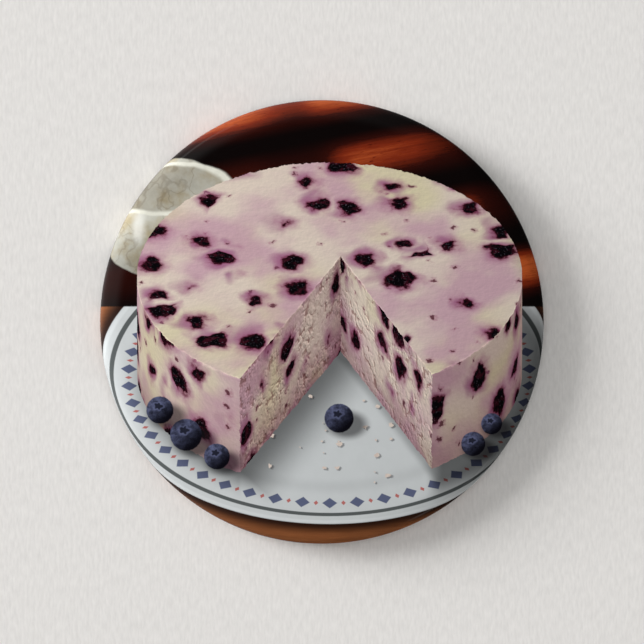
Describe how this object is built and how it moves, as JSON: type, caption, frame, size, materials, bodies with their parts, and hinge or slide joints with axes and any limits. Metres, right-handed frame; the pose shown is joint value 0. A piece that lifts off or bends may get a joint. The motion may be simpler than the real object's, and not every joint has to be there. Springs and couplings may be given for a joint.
{
  "type": "pin-back button badge",
  "caption": "Round domed button badge: printed face under clear film, rolled rim, stamped tinplate back with a spring-wire pin and hook.",
  "frame": {"origin": "centre of the badge, on the plane that the rolled rim stands on", "axes": "+Z out of the printed face, +Y towards the top of the print, +X to the viewer's right"},
  "size_m": [0.058, 0.058, 0.0058],
  "materials": {
    "print": "printed paper under clear semi-gloss film, cream and lilac with near-black berries on dark red-brown and pale grey",
    "tinplate": "bright tinplate with a faint rolled grain, stamped",
    "spring_wire": "smooth nickel-plated spring wire with a ground point"
  },
  "bodies": {
    "badge": {"printed_cover": "print", "front_shell": "tinplate", "back_plate": "tinplate", "wire_anchor": "spring_wire"},
    "pin": {"pin_arm": "spring_wire"}
  },
  "joints": [
    {"name": "pin_swing", "type": "hinge", "parent": "badge", "child": "pin", "pos_m": [0.0182, 0.0042, 0.00187], "axis": [0, -0.7071, 0.7071], "range_deg": [0, 28]}
  ]
}
